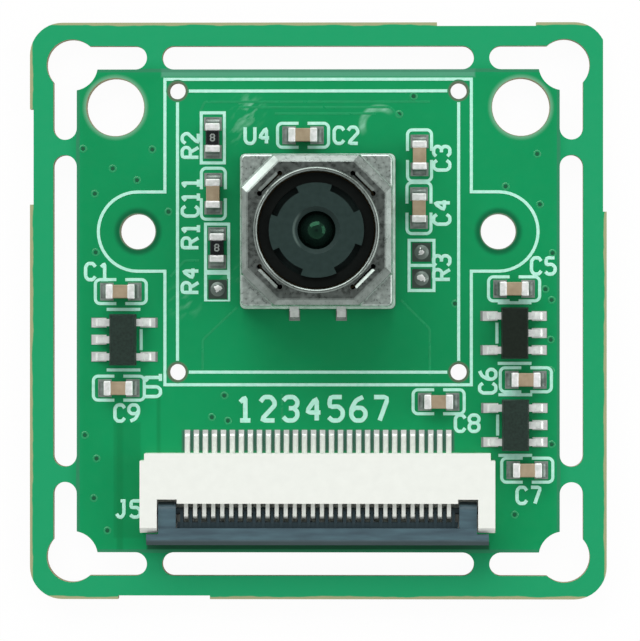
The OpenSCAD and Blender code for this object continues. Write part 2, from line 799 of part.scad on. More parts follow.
module lens_spacers() {
    color([0.05, 0.05, 0.05]) at_camera() for (n = [2:4]) film(n, LENSES[n - 1][1] - 0.33);
}

module lens_retainer() {
    back = LENSES[4];
    color([0.06, 0.06, 0.06]) at_camera() translate([0, 0, barrel_z[0] + 0.1]) difference() {
        cylinder(r = back[1], h = back[0] - barrel_z[0] - 0.1);
        translate([0, 0, -1]) cylinder(r = 1.95, h = 3);
    }
}

// ---------------------------------------------------------------- nodes

circuit_board();
legend_print();
tinned_pads();
solder_joints();
for (n = [1:len(CAPS)]) capacitor(n);
for (n = [1:len(RESISTORS)]) resistor(n);
for (n = [1:len(REGULATORS)]) {
    regulator_package(n);
    regulator_leads(n);
}
connector_housing();
connector_contacts();
connector_anchors();
connector_lock();
sensor_die();
sensor_bond_wires();
sensor_holder();
infrared_filter();
focus_base();
focus_cover();
focus_terminals();
for (n = [1:4]) magnet(n);
lower_leaf_spring();
upper_leaf_spring();
spring_spacer();
lens_carrier();
drive_coil();
lens_barrel();
lens_retainer();
aperture_sheet();
for (n = [1:len(LENSES)]) lens(n);
lens_spacers();
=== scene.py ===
# %% [markdown]
# # An autofocus camera on its circuit board
# The object is a 32 mm square circuit board. It carries a small camera with a focus
# motor, chip capacitors and resistors, three regulators, and a flat-cable connector
# whose slate-coloured lock flips up. The solids were made in a CAD program and are
# loaded here as they are. This script gives each of them a real finish, and adds what is
# too thin or too fine for a solid: copper tracks, vias, lettering and adhesive.

import math

import bmesh
import bpy
from mathutils import Matrix, Vector


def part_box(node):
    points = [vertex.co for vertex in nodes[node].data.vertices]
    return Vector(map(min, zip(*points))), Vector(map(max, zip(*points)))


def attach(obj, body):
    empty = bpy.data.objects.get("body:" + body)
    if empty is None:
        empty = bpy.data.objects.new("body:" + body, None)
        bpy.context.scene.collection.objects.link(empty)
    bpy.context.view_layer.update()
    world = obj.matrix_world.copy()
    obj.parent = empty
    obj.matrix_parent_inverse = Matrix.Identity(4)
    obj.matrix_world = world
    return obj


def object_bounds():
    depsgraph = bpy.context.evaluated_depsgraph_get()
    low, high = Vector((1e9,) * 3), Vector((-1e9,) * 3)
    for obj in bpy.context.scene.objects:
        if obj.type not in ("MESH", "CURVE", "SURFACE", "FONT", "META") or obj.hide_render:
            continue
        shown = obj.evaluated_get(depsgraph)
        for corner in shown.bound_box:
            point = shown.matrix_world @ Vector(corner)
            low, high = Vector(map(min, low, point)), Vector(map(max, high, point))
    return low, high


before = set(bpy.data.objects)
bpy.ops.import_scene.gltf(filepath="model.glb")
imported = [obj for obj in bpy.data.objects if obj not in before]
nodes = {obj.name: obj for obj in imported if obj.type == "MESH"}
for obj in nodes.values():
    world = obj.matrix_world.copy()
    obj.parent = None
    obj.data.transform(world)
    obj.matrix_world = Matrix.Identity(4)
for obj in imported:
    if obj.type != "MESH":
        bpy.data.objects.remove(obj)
cad_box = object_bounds()
MM = 0.001
ROOT = "board_assembly"
board_low, board_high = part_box("circuit_board")
BOARD_TOP = board_high.z
cover_low, cover_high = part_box("focus_cover")
LENS_AXIS = (cover_low + cover_high) / 2
print(len(nodes), "solids, board", [round(v / MM, 2) for v in board_high - board_low], "mm")

# %% [markdown]
# ## Camera
# A board like this is looked at from straight above, from about nine times its own
# width, so that the sides of the tall camera block hardly show. The camera stands a
# very little to the right of the middle.

# %% Camera
scene = bpy.context.scene
VIEW_DISTANCE = 0.280
VIEW_LEAN = math.radians(1.1)
FRAME_WIDTH = 0.03556
SENSOR = 36.0
IMAGE_OFFSET = Vector((0.000110, -0.000535, 0.0))

lens_camera = bpy.data.cameras.new("camera")
lens_camera.sensor_width = SENSOR
lens_camera.lens = SENSOR * VIEW_DISTANCE / FRAME_WIDTH
lens_camera.clip_start = 0.01
lens_camera.clip_end = 5.0
camera = bpy.data.objects.new("camera", lens_camera)
scene.collection.objects.link(camera)
target = Vector((0.0, 0.0, BOARD_TOP)) + IMAGE_OFFSET
back = Vector((math.sin(VIEW_LEAN), 0.0, math.cos(VIEW_LEAN)))
camera.location = target + back * VIEW_DISTANCE
camera.rotation_euler = (0.0, VIEW_LEAN, 0.0)
scene.camera = camera
print("lens", round(lens_camera.lens, 1), "mm on a", SENSOR, "mm sensor")

# %% [markdown]
# ## Helpers for materials
# Colours are written as sRGB hex, as on a colour chart, and one function turns them into
# the linear values that the renderer works with. One function adds a shader node, with
# its settings and what its sockets hold. Patterns are worked out in millimetres: the
# object's own coordinates are in metres, so they are first multiplied by a thousand.

# %% Helpers for materials
def linear(hex_colour):
    """An sRGB hex colour as linear RGBA."""
    channels = [int(hex_colour[i : i + 2], 16) / 255 for i in (1, 3, 5)]
    return [c / 12.92 if c <= 0.04045 else ((c + 0.055) / 1.055) ** 2.4 for c in channels] + [1.0]


def add_node(tree, kind, settings=None, sockets=None):
    """Adds a node. A socket's value may be a number, a colour or another node's output."""
    node = tree.nodes.new(kind)
    for name, value in (settings or {}).items():
        setattr(node, name, value)
    for name, value in (sockets or {}).items():
        if isinstance(value, bpy.types.NodeSocket):
            tree.links.new(value, node.inputs[name])
        else:
            node.inputs[name].default_value = value
    return node


def start_material(name):
    """A new material: its node tree, its main shader, and its coordinates in millimetres."""
    material = bpy.data.materials.new(name)
    material.use_nodes = True
    tree = material.node_tree
    shader = tree.nodes["Principled BSDF"]
    place = add_node(tree, "ShaderNodeTexCoord")
    in_mm = add_node(tree, "ShaderNodeVectorMath", {"operation": "SCALE"},
                     {0: place.outputs["Object"], "Scale": 1 / MM})
    return material, tree, shader, in_mm.outputs[0]


def finish_with(node_name, material):
    """Gives a CAD solid its finish."""
    for slot in nodes[node_name].material_slots:
        slot.material = material


# %% [markdown]
# ## Grain and wear
# No real surface has one flat colour. Most finishes here share a pattern: a noise whose
# size is given in millimetres moves the colour a little between two shades, changes the
# roughness, and lifts the surface by a few microns.

# %% Grain
def grain(tree, in_mm, size_mm, detail=3.0, stretch=(1.0, 1.0, 1.0)):
    """A noise from 0 to 1 whose grains are about size_mm across."""
    stretched = add_node(tree, "ShaderNodeMapping", {"vector_type": "POINT"},
                         {"Vector": in_mm, "Scale": stretch})
    noise = add_node(tree, "ShaderNodeTexNoise", None,
                     {"Vector": stretched.outputs[0], "Scale": 1 / size_mm, "Detail": detail})
    return noise.outputs["Fac"]


def between(tree, factor, low, high):
    """A number that goes from low to high as the factor crosses the middle of its range."""
    spread = add_node(tree, "ShaderNodeMapRange", None,
                      {"Value": factor, "From Min": 0.3, "From Max": 0.7, "To Min": low, "To Max": high})
    return spread.outputs[0]


def blend_colours(tree, factor, low, high):
    """A colour between two, each a hex value or another node's output."""
    mix = add_node(tree, "ShaderNodeMix", {"data_type": "RGBA"}, {0: factor})
    for socket, value in ((6, low), (7, high)):
        if isinstance(value, str):
            mix.inputs[socket].default_value = linear(value)
        else:
            tree.links.new(value, mix.inputs[socket])
    return mix.outputs[2]


def lift(tree, shader, height, microns):
    """Raises the surface by a height pattern, given its depth in microns."""
    bump = add_node(tree, "ShaderNodeBump", None,
                    {"Height": height, "Strength": 1.0, "Distance": microns * MM / 1000})
    tree.links.new(bump.outputs[0], shader.inputs["Normal"])


def plain_finish(name, shades, roughness, grain_mm, microns,
                 metallic=0.0, stretch=(1.0, 1.0, 1.0), specular=0.5):
    """A finish of one material: two shades, two roughness limits and a fine relief."""
    material, tree, shader, in_mm = start_material(name)
    pattern = grain(tree, in_mm, grain_mm, stretch=stretch)
    tree.links.new(blend_colours(tree, between(tree, pattern, 0.0, 1.0), *shades),
                   shader.inputs["Base Color"])
    tree.links.new(between(tree, pattern, *roughness), shader.inputs["Roughness"])
    shader.inputs["Metallic"].default_value = metallic
    shader.inputs["Specular IOR Level"].default_value = specular
    lift(tree, shader, pattern, microns)
    return material


# %% [markdown]
# ## Solder mask on glass-fibre laminate
# The board is woven glass in epoxy, printed with a green photographic lacquer that the
# makers call solder mask: a smooth, hard polymer with a soft shine. It looks paler over
# copper than over bare laminate. It stops a little short of the holes and of the outer
# edge, where the yellow-grey laminate shows, and the cut edges have no lacquer at all.
# All of that is one material, because it is one surface. The rings are drawn from the
# distance to the holes, and mirrored halves are folded onto each other first.

# %% Solder mask
MASK_OVER_COPPER = "#0e985c"
MASK_FRAME = "#1fa069"
MASK_BARE = "#0a8049"
MASK_GREY = "#3f7d62"
LAMINATE = "#b9ad86"
LAMINATE_DARK = "#6f6450"
FRAME_STARTS = 13.3
INNER_BOARD = 13.4
OUTER_EDGE = 15.86
PATCH_SIZE = 7.0
# The cut rim of the inner board shows greyer: how far in it lies, half width and share.
RIM_INSET, RIM_HALF, RIM_SHARE = 0.06, 0.10, 0.55
# The lacquer's worn outer margin: how ragged it is, where it starts and ends, and share.
MARGIN_WEAR, MARGIN_START, MARGIN_END, MARGIN_SHARE = 0.25, 0.09, 0.14, 0.8
# Rings round the holes. The board is folded about a line across it, so that one place
# stands for two or four holes: line, place in the folded board, hole's radius, ring's
# width and softness, colour, and its share.
HOLE_RINGS = [
    (4.4, (7.8, 7.8), 0.45, 0.13, 0.05, "#646a5a", 0.85),
    # the dark ring round the side holes is painted shade, and the thin pale line at their edge is a painted
    # highlight
    (4.4, (10.0, 0.0), 0.975, 0.30, 0.16, "#0a5e3a", 0.85),
    (4.4, (10.0, 0.0), 0.975, 0.05, 0.04, "#7a8a76", 0.7),
    (11.3, (11.25, 0.0), 1.6, 0.16, 0.14, "#7fb596", 0.7),
    (11.3, (11.25, 0.0), 1.6, 0.04, 0.03, "#8d8a6a", 0.8),
]
# Long gaps in the copper, where the lacquer lies on bare laminate or is left off, and
# patches of painted shade beside and under the connector: centre, half size, colour and its share.
COPPER_GAPS_AND_PAINTED_SHADE = [
    ((-11.0, -9.6), (0.17, 3.7), MASK_BARE, 0.6),
    ((-8.85, -6.3), (0.10, 1.9), MASK_BARE, 0.6),
    # painted shade to the left of the connector
    ((-10.6, -9.4), (0.75, 3.2), MASK_BARE, 0.5),
    # a window left bare of lacquer between the tail pads, darkened further by painted shade
    ((0.0, -7.2), (7.55, 0.58), "#41665a", 0.9),
    ((0.0, 13.2), (8.7, 0.22), "#69a68f", 0.6),
    # painted shadow under the lock's front edge
    ((0.0, -13.05), (9.5, 0.2), "#1c3a2e", 0.8),
]
# Dried flux, which a brush leaves as pale wisps on the lacquer: centre, radius and share.
FLUX_STAINS = [
    ((-3.9, 11.1), 1.2, 0.6), ((-4.6, 9.9), 0.8, 0.4),
    ((-7.4, 0.6), 1.4, 0.2), ((-5.2, 2.2), 1.5, 0.2),
]
# One stroke of the brush, a part of a circle: centre, radius, half width and share.
FLUX_STROKE = ((3.41, 10.3), 0.95, 0.28, 0.7)
FLUX = "#9fd9bd"
FLUX_TURN = math.radians(-40)


def solder_mask():
    material, tree, shader, in_mm = start_material("solder_mask_on_laminate")
    split = add_node(tree, "ShaderNodeSeparateXYZ", None, {0: in_mm})
    broad = grain(tree, in_mm, PATCH_SIZE)
    colour = blend_colours(tree, between(tree, broad, 0.0, 0.45), MASK_OVER_COPPER, MASK_BARE)
    folded = add_node(tree, "ShaderNodeVectorMath", {"operation": "ABSOLUTE"}, {0: in_mm})
    flat = add_node(tree, "ShaderNodeSeparateXYZ", None, {0: folded.outputs[0]})
    far = add_node(tree, "ShaderNodeMath", {"operation": "MAXIMUM"},
                   {0: flat.outputs[0], 1: flat.outputs[1]})
    on_frame = add_node(tree, "ShaderNodeMapRange", {"interpolation_type": "SMOOTHSTEP"},
                        {"Value": far.outputs[0],
                         "From Min": FRAME_STARTS - 0.4, "From Max": FRAME_STARTS + 0.8})
    colour = blend_colours(tree, on_frame.outputs[0], colour, MASK_FRAME)
    plain = colour
    for centre, half, shade, share in COPPER_GAPS_AND_PAINTED_SHADE:
        away = add_node(tree, "ShaderNodeVectorMath", {"operation": "SUBTRACT"}, {0: in_mm, 1: (*centre, 0)})
        away = add_node(tree, "ShaderNodeVectorMath", {"operation": "ABSOLUTE"}, {0: away.outputs[0]})
        away = add_node(tree, "ShaderNodeVectorMath", {"operation": "SUBTRACT"},
                        {0: away.outputs[0], 1: (*half, 0)})
        sides = add_node(tree, "ShaderNodeSeparateXYZ", None, {0: away.outputs[0]})
        out = add_node(tree, "ShaderNodeMath", {"operation": "MAXIMUM"},
                       {0: sides.outputs[0], 1: sides.outputs[1]})
        inside = add_node(tree, "ShaderNodeMapRange", {"interpolation_type": "SMOOTHSTEP"},
                          {"Value": out.outputs[0], "From Min": 0.08, "From Max": -0.08, "To Max": share})
        colour = blend_colours(tree, inside.outputs[0], colour, shade)
    turned = add_node(tree, "ShaderNodeVectorRotate", {"rotation_type": "Z_AXIS"},
                      {"Vector": in_mm, "Angle": FLUX_TURN})
    wisps = grain(tree, turned.outputs[0], 0.9, detail=6.0, stretch=(0.9, 2.4, 1.0))
    for centre, radius, share in FLUX_STAINS:
        away = add_node(tree, "ShaderNodeVectorMath", {"operation": "DISTANCE"},
                        {0: in_mm, 1: (*centre, BOARD_TOP / MM)})
        near = add_node(tree, "ShaderNodeMapRange", {"interpolation_type": "SMOOTHSTEP"},
                        {"Value": away.outputs["Value"], "From Min": radius, "From Max": 0.2 * radius,
                         "To Max": share})
        stain = add_node(tree, "ShaderNodeMath", {"operation": "MULTIPLY"},
                         {0: near.outputs[0], 1: between(tree, wisps, -0.9, 1.1)})
        stain = add_node(tree, "ShaderNodeClamp", None, {"Value": stain.outputs[0]})
        colour = blend_colours(tree, stain.outputs[0], colour, FLUX)
    centre, radius, half, share = FLUX_STROKE
    from_centre = add_node(tree, "ShaderNodeVectorMath", {"operation": "SUBTRACT"},
                           {0: in_mm, 1: (*centre, BOARD_TOP / MM)})
    away = add_node(tree, "ShaderNodeVectorMath", {"operation": "LENGTH"}, {0: from_centre.outputs[0]})
    off = add_node(tree, "ShaderNodeMath", {"operation": "SUBTRACT"}, {0: away.outputs["Value"], 1: radius})
    off = add_node(tree, "ShaderNodeMath", {"operation": "ABSOLUTE"}, {0: off.outputs[0]})
    on_line = add_node(tree, "ShaderNodeMapRange", {"interpolation_type": "SMOOTHSTEP"},
                       {"Value": off.outputs[0], "From Min": half, "From Max": 0.2 * half, "To Max": share})
    upper_left = add_node(tree, "ShaderNodeVectorMath", {"operation": "DOT_PRODUCT"},
                          {0: from_centre.outputs[0], 1: (-0.6, 0.8, 0.0)})
    on_side = add_node(tree, "ShaderNodeMapRange", {"interpolation_type": "SMOOTHSTEP"},
                       {"Value": upper_left.outputs["Value"], "From Min": 0.0, "From Max": 0.6})
    stroke = add_node(tree, "ShaderNodeMath", {"operation": "MULTIPLY"},
                      {0: on_line.outputs[0], 1: on_side.outputs[0]})
    stroke = add_node(tree, "ShaderNodeMath", {"operation": "MULTIPLY"},
                      {0: stroke.outputs[0], 1: between(tree, wisps, 0.3, 1.1)})
    colour = blend_colours(tree, stroke.outputs[0], colour, FLUX)
    for line, centre, radius, width, soft, shade, share in HOLE_RINGS:
        moved = add_node(tree, "ShaderNodeVectorMath", {"operation": "SUBTRACT"}, {0: in_mm, 1: (0, line, 0)})
        fold = add_node(tree, "ShaderNodeVectorMath", {"operation": "ABSOLUTE"}, {0: moved.outputs[0]})
        away = add_node(tree, "ShaderNodeVectorMath", {"operation": "SUBTRACT"},
                        {0: fold.outputs[0], 1: (*centre, 0)})
        away = add_node(tree, "ShaderNodeVectorMath", {"operation": "MULTIPLY"},
                        {0: away.outputs[0], 1: (1, 1, 0)})
        distance = add_node(tree, "ShaderNodeVectorMath", {"operation": "LENGTH"}, {0: away.outputs[0]})
        edge = radius + width
        ring = add_node(tree, "ShaderNodeMapRange", {"interpolation_type": "SMOOTHSTEP"},
                        {"Value": distance.outputs["Value"], "From Min": edge + soft, "From Max": edge - soft,
                         "To Max": share})
        colour = blend_colours(tree, ring.outputs[0], colour, shade)
    rim = add_node(tree, "ShaderNodeMath", {"operation": "COMPARE"},
                   {0: far.outputs[0], 1: INNER_BOARD - RIM_INSET, 2: RIM_HALF})
    rim = add_node(tree, "ShaderNodeMath", {"operation": "MULTIPLY"}, {0: rim.outputs[0], 1: RIM_SHARE})
    colour = blend_colours(tree, rim.outputs[0], colour, MASK_GREY)
    ragged = grain(tree, in_mm, 1.5)
    worn = add_node(tree, "ShaderNodeMath", {"operation": "MULTIPLY_ADD"},
                    {0: ragged, 1: MARGIN_WEAR, 2: far.outputs[0]})
    margin = add_node(tree, "ShaderNodeMapRange", None,
                      {"Value": worn.outputs[0], "From Min": OUTER_EDGE + MARGIN_START,
                       "From Max": OUTER_EDGE + MARGIN_END, "To Max": MARGIN_SHARE})
    colour = blend_colours(tree, margin.outputs[0], colour, LAMINATE)
    # the underside has the lacquer alone
    under = add_node(tree, "ShaderNodeMath", {"operation": "LESS_THAN"},
                     {0: split.outputs[2], 1: BOARD_TOP / MM / 2})
    colour = blend_colours(tree, under.outputs[0], colour, plain)
    facing = add_node(tree, "ShaderNodeTexCoord")
    upright = add_node(tree, "ShaderNodeSeparateXYZ", None, {0: facing.outputs["Normal"]})
    level = add_node(tree, "ShaderNodeMath", {"operation": "ABSOLUTE"}, {0: upright.outputs[2]})
    cut_edge = add_node(tree, "ShaderNodeMath", {"operation": "LESS_THAN"}, {0: level.outputs[0], 1: 0.5})
    fibre = grain(tree, in_mm, 0.25, stretch=(1.0, 1.0, 6.0))
    cut = blend_colours(tree, fibre, LAMINATE_DARK, LAMINATE)
    colour = blend_colours(tree, cut_edge.outputs[0], colour, cut)
    tree.links.new(colour, shader.inputs["Base Color"])
    fine = grain(tree, in_mm, 0.5)
    rough = add_node(tree, "ShaderNodeMath", {"operation": "MULTIPLY_ADD"},
                     {0: cut_edge.outputs[0], 1: 0.45, 2: between(tree, fine, 0.28, 0.36)})
    tree.links.new(rough.outputs[0], shader.inputs["Roughness"])
    shader.inputs["Specular IOR Level"].default_value = 0.3
    lift(tree, shader, fine, 4.0)
    return material


finish_with("circuit_board", solder_mask())

# %% [markdown]
# ## The other finishes
# Each one starts from what the real part is. Tin is a soft, slightly yellow-white metal
# that is satin where it was plated and bright where it melted. The connector is moulded
# in a heat-proof liquid-crystal polymer, which is naturally off-white and dull. The
# regulators are moulded epoxy. The camera's cover is nickel-plated steel sheet, pressed.

# %% Finishes of single materials
ink = plain_finish("screen_printed_ink", ("#c6f7e6", "#aceed6"), (0.5, 0.62), 0.25, 2.0)
mark_ink = plain_finish("laser_marked_glass", ("#9aa19c", "#7f8783"), (0.5, 0.6), 0.1, 1.0)
tinned_pad = plain_finish("hot_air_tinned_copper", ("#b4bfb8", "#7c8982"), (0.34, 0.5),
                          0.5, 4.0, metallic=0.7)
solder = plain_finish("reflowed_tin_solder", ("#929d97", "#59645e"), (0.36, 0.5),
                      0.45, 3.0, metallic=0.7)
tin_plate = plain_finish("tin_plated_copper_alloy", ("#fafdfa", "#d3dad5"), (0.36, 0.5),
                         0.4, 4.0, metallic=0.25)
contact_tin = plain_finish("tin_plated_phosphor_bronze", ("#f6f9f3", "#e2e8e0"), (0.4, 0.5), 0.25, 1.5,
                           metallic=0.3)
lcp_white = plain_finish("moulded_liquid_crystal_polymer", ("#f2f5ee", "#eef1ea"), (0.5, 0.6), 0.6, 2.0)
epoxy = plain_finish("moulded_epoxy", ("#17261f", "#22352d"), (0.5, 0.62), 0.12, 4.0, specular=0.3)
epoxy_dark = plain_finish("moulded_epoxy_dark", ("#101a12", "#18221a"), (0.5, 0.62),
                          0.12, 4.0, specular=0.2)
holder_black = plain_finish("moulded_black_nylon", ("#17211d", "#202c27"), (0.5, 0.6), 0.2, 5.0)
carrier_black = plain_finish("moulded_black_polycarbonate", ("#060a08", "#0a0f0d"), (0.6, 0.7), 0.2, 3.0,
                             specular=0.1)
film_black = plain_finish("matt_black_film", ("#0c0d0d", "#121414"), (0.6, 0.7), 0.2, 2.0)
spring_bronze = plain_finish("etched_copper_alloy", ("#6f6047", "#57492f"), (0.4, 0.5), 0.2, 1.0,
                             metallic=1.0)
magnet_nickel = plain_finish("nickel_plated_magnet", ("#9a9c9e", "#7d8084"), (0.3, 0.45),
                             0.2, 3.0, metallic=1.0)
coil_copper = plain_finish("enamelled_copper_wire", ("#b4653a", "#8f4724"), (0.25, 0.35), 0.3, 8.0,
                           metallic=1.0, stretch=(0.2, 0.2, 6.0))
silicon = plain_finish("polished_silicon", ("#2c2f38", "#3a3540"), (0.1, 0.16), 0.4, 0.5)
gold = plain_finish("drawn_gold_wire", ("#e0b050", "#cf9a3c"), (0.2, 0.3), 0.1, 0.5, metallic=1.0)

# A painted highlight makes the row of tail pads bright to their ends: centre, half
# size. The regulators' pads get the same painted highlight, a little past their leads. On
# the pads that carry no part the solder is a dull dome with a small painted highlight in
# the middle. The ragged edge is added to the distance from the middle, so it is in both reaches.
TAIL_PADS = ((0.0, -7.1), (7.6, 0.9))
BARE_PADS = [(-5.57, 1.2), (5.74, 3.25), (5.74, 1.8)]
BARE_REACH = 1.0
BARE_SPOT = 0.46
RAGGED_EDGE = 0.5
LEAD_PAD_REACH = 0.35
LEAD_PAD_MARGIN = 0.05
PAINTED_HIGHLIGHT_TIN = "#f6faf6"
DULL_TIN = "#4d5b53"
DULL_SOLDER = "#6f7c75"


def shade_pads(material, bare_rings):
    """Paints a highlight on the pads of tails and regulators, and colours the bare pads ring by ring."""
    tree = material.node_tree
    shader = tree.nodes["Principled BSDF"]
    place = add_node(tree, "ShaderNodeTexCoord")
    colour = shader.inputs["Base Color"].links[0].from_socket
    split = add_node(tree, "ShaderNodeSeparateXYZ", None, {0: place.outputs["Object"]})
    highlight_areas = [TAIL_PADS]
    for n in (1, 2, 3):
        low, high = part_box(f"regulator_{n}_leads")
        middle, half = (low + high) / 2 / MM, (high - low) / 2 / MM
        highlight_areas.append(((middle.x, middle.y), (half.x + LEAD_PAD_REACH, half.y + LEAD_PAD_MARGIN)))
    for (x, y), (half_x, half_y) in highlight_areas:
        along = add_node(tree, "ShaderNodeMath", {"operation": "COMPARE"},
                         {0: split.outputs[0], 1: x * MM, 2: half_x * MM})
        across = add_node(tree, "ShaderNodeMath", {"operation": "COMPARE"},
                          {0: split.outputs[1], 1: y * MM, 2: half_y * MM})
        both = add_node(tree, "ShaderNodeMath", {"operation": "MULTIPLY"},
                        {0: along.outputs[0], 1: across.outputs[0]})
        # a painted highlight on these pads
        colour = blend_colours(tree, both.outputs[0], colour, PAINTED_HIGHLIGHT_TIN)
    in_mm = add_node(tree, "ShaderNodeVectorMath", {"operation": "SCALE"},
                     {0: place.outputs["Object"], "Scale": 1 / MM}).outputs[0]
    ragged = grain(tree, in_mm, 0.3)
    for x, y in BARE_PADS:
        away = add_node(tree, "ShaderNodeVectorMath", {"operation": "DISTANCE"},
                        {0: in_mm, 1: (x, y, BOARD_TOP / MM)})
        uneven = add_node(tree, "ShaderNodeMath", {"operation": "MULTIPLY_ADD"},
                          {0: ragged, 1: RAGGED_EDGE, 2: away.outputs["Value"]})
        for reach, shade in bare_rings:
            near = add_node(tree, "ShaderNodeMath", {"operation": "LESS_THAN"},
                            {0: uneven.outputs[0], 1: reach})
            colour = blend_colours(tree, near.outputs[0], colour, shade)
    tree.links.new(colour, shader.inputs["Base Color"])


shade_pads(tinned_pad, [(BARE_REACH, DULL_TIN)])
shade_pads(solder, [(BARE_REACH, DULL_SOLDER), (BARE_SPOT, PAINTED_HIGHLIGHT_TIN)])

for name, material in {
    "legend_print": ink, "tinned_pads": tinned_pad, "solder_joints": solder,
    "connector_housing": lcp_white, "connector_contacts": contact_tin, "connector_anchors": tin_plate,
    "sensor_die": silicon, "sensor_bond_wires": gold, "sensor_holder": holder_black,
    "focus_base": holder_black, "focus_terminals": tin_plate, "lower_leaf_spring": spring_bronze,
    "upper_leaf_spring": spring_bronze, "spring_spacer": carrier_black, "lens_carrier": carrier_black,
    "drive_coil": coil_copper, "lens_retainer": film_black, "aperture_sheet": film_black,
    "lens_spacers": film_black,
}.items():
    finish_with(name, material)
for n in (1, 2, 3):
    finish_with(f"regulator_{n}_package", epoxy_dark if n == 2 else epoxy)
    finish_with(f"regulator_{n}_leads", tin_plate)
for n in (1, 2, 3, 4):
    finish_with(f"magnet_{n}", magnet_nickel)

# %% [markdown]
# ## Chip capacitors and resistors
# A chip capacitor is a brick of fired ceramic, tan and slightly glazed, with its two ends
# dipped in tin. A chip resistor is a thin white ceramic tile with a black glass top. Both
# are one solid here, so the two materials meet at a distance from the chip's middle. That
# distance is measured along the chip, so each chip turns and centres the pattern on itself.

# %% Chip parts
CHIP_END = 0.41
TIN_SHADES = ("#ffffff", "#dde3dd")
TIN_SHINE = 0.3
TIN_ROUGHNESS = 0.42
CERAMIC_SHADES, CERAMIC_ROUGHNESS = ("#ab9a80", "#97866c"), 0.42
GLASS_SHADES, GLASS_ROUGHNESS = ("#16191a", "#202425"), 0.22


def chip_finish(node_name, body_shades, body_roughness):
    """Tinned ends and a fired body, split at the chip's own middle."""
    low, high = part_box(node_name)
    middle, size = (low + high) / 2 / MM, high - low
    material, tree, shader, in_mm = start_material("finish_of_" + node_name)
    away = add_node(tree, "ShaderNodeVectorMath", {"operation": "SUBTRACT"}, {0: in_mm, 1: middle})
    parts = add_node(tree, "ShaderNodeSeparateXYZ", None, {0: away.outputs[0]})
    along = parts.outputs[0 if size.x > size.y else 1]
    from_middle = add_node(tree, "ShaderNodeMath", {"operation": "ABSOLUTE"}, {0: along})
    ragged = grain(tree, in_mm, 0.25)
    edge = add_node(tree, "ShaderNodeMath", {"operation": "MULTIPLY_ADD"},
                    {0: ragged, 1: 0.08, 2: from_middle.outputs[0]})
    metal = add_node(tree, "ShaderNodeMapRange", None,
                     {"Value": edge.outputs[0], "From Min": CHIP_END + 0.03, "From Max": CHIP_END + 0.05})
    body = blend_colours(tree, between(tree, grain(tree, in_mm, 0.5), 0.0, 1.0), *body_shades)
    tin = blend_colours(tree, between(tree, ragged, 0.0, 1.0), *TIN_SHADES)
    tree.links.new(blend_colours(tree, metal.outputs[0], body, tin), shader.inputs["Base Color"])
    shine = add_node(tree, "ShaderNodeMath", {"operation": "MULTIPLY"}, {0: metal.outputs[0], 1: TIN_SHINE})
    tree.links.new(shine.outputs[0], shader.inputs["Metallic"])
    rough = add_node(tree, "ShaderNodeMapRange", None,
                     {"Value": metal.outputs[0], "To Min": body_roughness, "To Max": TIN_ROUGHNESS})
    tree.links.new(rough.outputs[0], shader.inputs["Roughness"])
    lift(tree, shader, ragged, 6.0)
    return material


for n in range(1, 11):
    finish_with(f"capacitor_{n}", chip_finish(f"capacitor_{n}", CERAMIC_SHADES, CERAMIC_ROUGHNESS))
for n in (1, 2):
    finish_with(f"resistor_{n}", chip_finish(f"resistor_{n}", GLASS_SHADES, GLASS_ROUGHNESS))

# %% [markdown]
# ## The connector's lock
# The lock is moulded in a dark slate polymer. Fingers and cables have rubbed it, which
# leaves paler streaks along it. Painted shade darkens the step, the comb below and the front edge.

# %% Lock
LOCK_STEP = 1.6
LOCK_EDGE = -12.62
LOCK_EDGE_WIDTH = 0.16
LOCK_SHADES = ("#3b505a", "#506b74")
LOCK_PAINTED_SHADE = "#22343a"
LOCK_EDGE_SHADE, LOCK_EDGE_SHADE_SHARE = "#233b3c", 0.85


def lock_finish():
    material, tree, shader, in_mm = start_material("moulded_slate_polymer")
    streaks = grain(tree, in_mm, 0.7, stretch=(0.35, 2.2, 2.2))
    fine = grain(tree, in_mm, 0.12)
    colour = blend_colours(tree, between(tree, streaks, 0.0, 1.0), *LOCK_SHADES)
    split = add_node(tree, "ShaderNodeSeparateXYZ", None, {0: in_mm})
    # painted shade on the step and the comb below it
    low = add_node(tree, "ShaderNodeMath", {"operation": "LESS_THAN"},
                   {0: split.outputs[2], 1: BOARD_TOP / MM + LOCK_STEP})
    colour = blend_colours(tree, low.outputs[0], colour, LOCK_PAINTED_SHADE)
    # painted shade along the front edge
    edge = add_node(tree, "ShaderNodeMapRange", {"interpolation_type": "SMOOTHSTEP"},
                    {"Value": split.outputs[1], "From Min": LOCK_EDGE,
                     "From Max": LOCK_EDGE - LOCK_EDGE_WIDTH, "To Max": LOCK_EDGE_SHADE_SHARE})
    colour = blend_colours(tree, edge.outputs[0], colour, LOCK_EDGE_SHADE)
    tree.links.new(colour, shader.inputs["Base Color"])
    tree.links.new(between(tree, streaks, 0.5, 0.36), shader.inputs["Roughness"])
    lift(tree, shader, fine, 4.0)
    return material


finish_with("connector_lock", lock_finish())

# %% [markdown]
# ## The camera's cover
# Nickel-plated steel, pressed from sheet. Pressing leaves a fine speckle on the flat
# faces, with darker and paler patches, and the bent edges shine. The walls are smoother.

# %% Steel cover
# below the cover's top: where the ledges' finish begins, and where the walls' does
LEDGE_DEPTH = 0.4
WALL_DEPTH = 0.75
# the top is painted darker, as shade, and the ledges paler, as light, though both are one plating
SHADED_TOP_STEEL = ("#78827c", "#a3ada8")
LIT_LEDGE_STEEL = ("#9ba8a1", "#c4d1ca")
WALL_SHADES = ("#a9b4ae", "#b6c1bb")
PATCH_SHARE, SPECKLE_SHARE = 0.65, 0.35
DULLER_PLATING = 0.35


